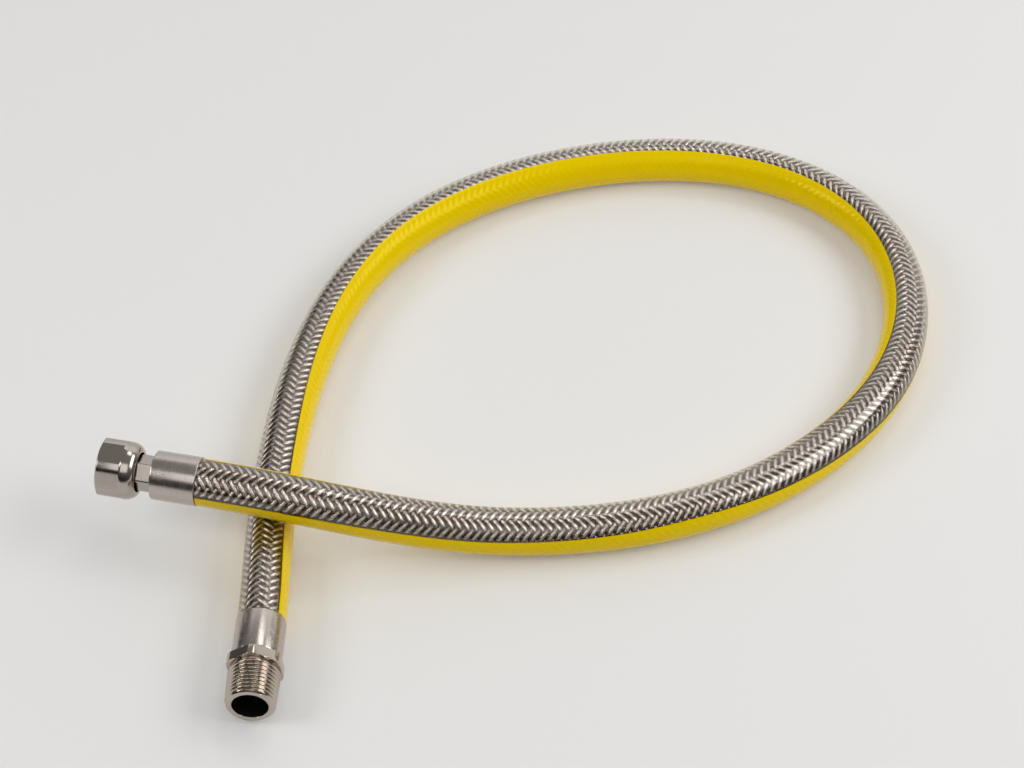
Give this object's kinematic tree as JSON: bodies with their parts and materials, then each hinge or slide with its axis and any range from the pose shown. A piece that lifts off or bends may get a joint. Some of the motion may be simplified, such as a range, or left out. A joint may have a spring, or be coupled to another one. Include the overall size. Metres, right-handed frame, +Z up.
{
  "type": "flexible gas hose",
  "caption": "Corrugated steel gas hose in a wire braid and a yellow jacket with a clear window, taper thread at one end and a swivel nut at the other.",
  "frame": {"origin": "centre of the bounding box, on the surface that the hose lies on", "axes": "+Z up; the taper thread points along -Y; the swivel nut points along -X, turned 9 degrees towards +Y"},
  "size_m": [0.3523, 0.3383, 0.0429],
  "materials": {
    "stainless_tube": "bright formed stainless steel",
    "stainless_wire": "bright drawn stainless wire, braided",
    "pvc_jacket": "extruded PVC, yellow with one clear stripe",
    "turned_steel": "turned stainless steel, satin",
    "gasket_rubber": "moulded nitrile rubber"
  },
  "bodies": {
    "hose": {"corrugated_tube": "stainless_tube", "wire_braid": "stainless_wire", "pvc_jacket": "pvc_jacket", "swivel_ferrule": "turned_steel", "male_ferrule": "turned_steel", "swivel_nipple": "turned_steel", "male_nipple": "turned_steel"},
    "nut": {"swivel_nut": "turned_steel", "sealing_gasket": "gasket_rubber"}
  },
  "joints": [
    {"name": "nut_turn", "type": "hinge", "parent": "hose", "child": "nut", "pos_m": [-0.16519, -0.06444, 0.0307], "axis": [-0.9877, 0.1564, 0], "continuous": true}
  ]
}
